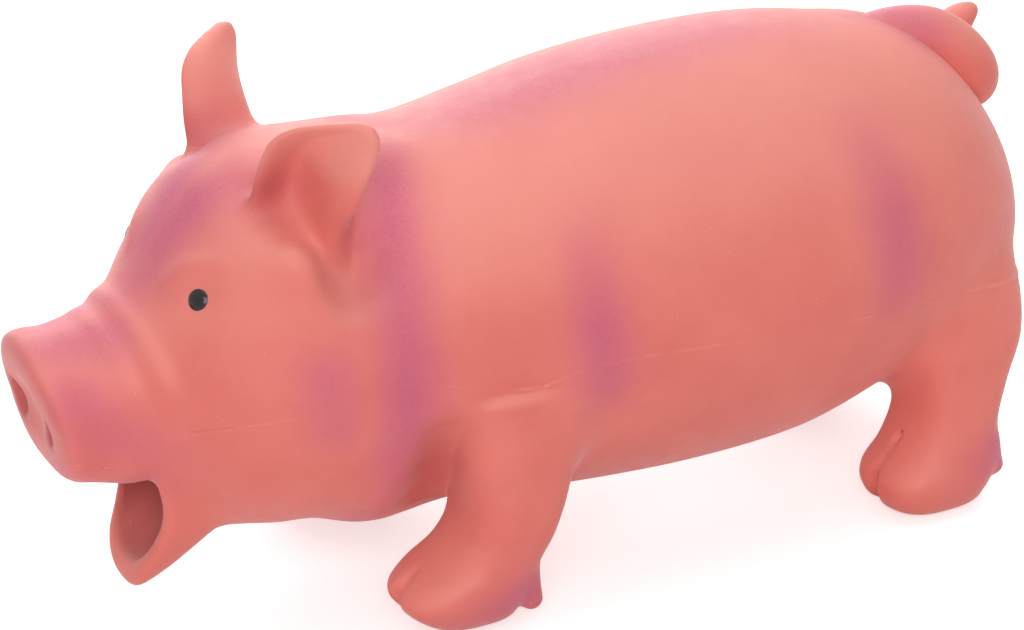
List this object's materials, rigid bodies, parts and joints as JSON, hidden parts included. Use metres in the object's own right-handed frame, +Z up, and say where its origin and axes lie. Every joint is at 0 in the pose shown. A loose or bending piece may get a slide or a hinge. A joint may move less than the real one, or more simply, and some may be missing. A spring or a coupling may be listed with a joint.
{
  "type": "latex pig dog toy",
  "caption": "Stuffed latex pig toy that stands on its hooves, with an open mouth, soft ears, a curled tail, and flanks that squeeze to sound a reed in the belly.",
  "frame": {"origin": "on the ground under the middle of the toy's length and width", "axes": "+Z up, -X towards the snout, -Y the toy's left side"},
  "size_m": [0.2064, 0.0836, 0.1006],
  "materials": {
    "latex_skin": "matte moulded latex with airbrushed shading",
    "eye_lacquer": "gloss black lacquer",
    "polyester_fibre": "loose white wadding",
    "sounder_plastic": "satin moulded plastic",
    "reed_film": "thin satin film"
  },
  "bodies": {
    "trunk": {"trunk_skin": "latex_skin", "head_skin": "latex_skin", "left_eye": "eye_lacquer", "right_eye": "eye_lacquer", "fibre_fill": "polyester_fibre", "sound_barrel": "sounder_plastic", "vent_cap": "sounder_plastic", "reed_block": "sounder_plastic", "reed_wedge": "sounder_plastic"},
    "left_flank": {"left_flank": "latex_skin"},
    "right_flank": {"right_flank": "latex_skin"},
    "jaw": {"lower_jaw": "latex_skin"},
    "left_ear": {"left_ear": "latex_skin"},
    "right_ear": {"right_ear": "latex_skin"},
    "tail": {"tail": "latex_skin"},
    "front_left_leg": {"front_left_leg": "latex_skin"},
    "front_right_leg": {"front_right_leg": "latex_skin"},
    "rear_left_leg": {"rear_left_leg": "latex_skin"},
    "rear_right_leg": {"rear_right_leg": "latex_skin"},
    "reed": {"reed_tongue": "reed_film"}
  },
  "joints": [
    {"name": "flank_squeeze", "type": "slide", "parent": "trunk", "child": "left_flank", "axis": [0, 1, 0], "range_m": [0, 0.009], "stiffness_N_per_m": 400, "deforming": ["fibre_fill"]},
    {"name": "right_flank_squeeze", "type": "slide", "parent": "trunk", "child": "right_flank", "axis": [0, -1, 0], "range_m": [0, 0.009], "stiffness_N_per_m": 400, "deforming": ["fibre_fill"]},
    {"name": "jaw_close", "type": "hinge", "parent": "trunk", "child": "jaw", "pos_m": [-0.06584, 0, 0.026], "axis": [0, 1, 0], "range_deg": [0, 14], "stiffness_Nm_per_rad": 0.05},
    {"name": "left_ear_fold", "type": "hinge", "parent": "trunk", "child": "left_ear", "pos_m": [-0.05873, -0.01957, 0.0783], "axis": [-0.6353, 0.4705, 0.6124], "range_deg": [-15, 15], "stiffness_Nm_per_rad": 0.02},
    {"name": "right_ear_fold", "type": "hinge", "parent": "trunk", "child": "right_ear", "pos_m": [-0.05873, 0.01957, 0.0783], "axis": [0.6353, 0.4705, -0.6124], "range_deg": [-15, 15], "stiffness_Nm_per_rad": 0.02},
    {"name": "tail_lift", "type": "hinge", "parent": "trunk", "child": "tail", "pos_m": [0.078, 0, 0.08787], "axis": [0, -1, 0], "range_deg": [0, 20], "stiffness_Nm_per_rad": 0.05},
    {"name": "front_left_leg_swing", "type": "hinge", "parent": "trunk", "child": "front_left_leg", "pos_m": [-0.02184, -0.029, 0.034], "axis": [0, 1, 0], "range_deg": [-10, 10], "stiffness_Nm_per_rad": 0.6},
    {"name": "front_right_leg_swing", "type": "hinge", "parent": "trunk", "child": "front_right_leg", "pos_m": [-0.02184, 0.029, 0.034], "axis": [0, 1, 0], "range_deg": [-10, 10], "stiffness_Nm_per_rad": 0.6},
    {"name": "rear_left_leg_swing", "type": "hinge", "parent": "trunk", "child": "rear_left_leg", "pos_m": [0.07816, -0.029, 0.036], "axis": [0, 1, 0], "range_deg": [-10, 10], "stiffness_Nm_per_rad": 0.6},
    {"name": "rear_right_leg_swing", "type": "hinge", "parent": "trunk", "child": "rear_right_leg", "pos_m": [0.07816, 0.029, 0.036], "axis": [0, 1, 0], "range_deg": [-10, 10], "stiffness_Nm_per_rad": 0.6},
    {"name": "reed_flutter", "type": "hinge", "parent": "trunk", "child": "reed", "pos_m": [0.02816, 0, 0.02911], "axis": [0, 1, 0], "range_deg": [-1, 3], "stiffness_Nm_per_rad": 0.0001}
  ],
  "couplings": [
    {"joint": "right_flank_squeeze", "follows": "flank_squeeze", "ratio": 1}
  ]
}
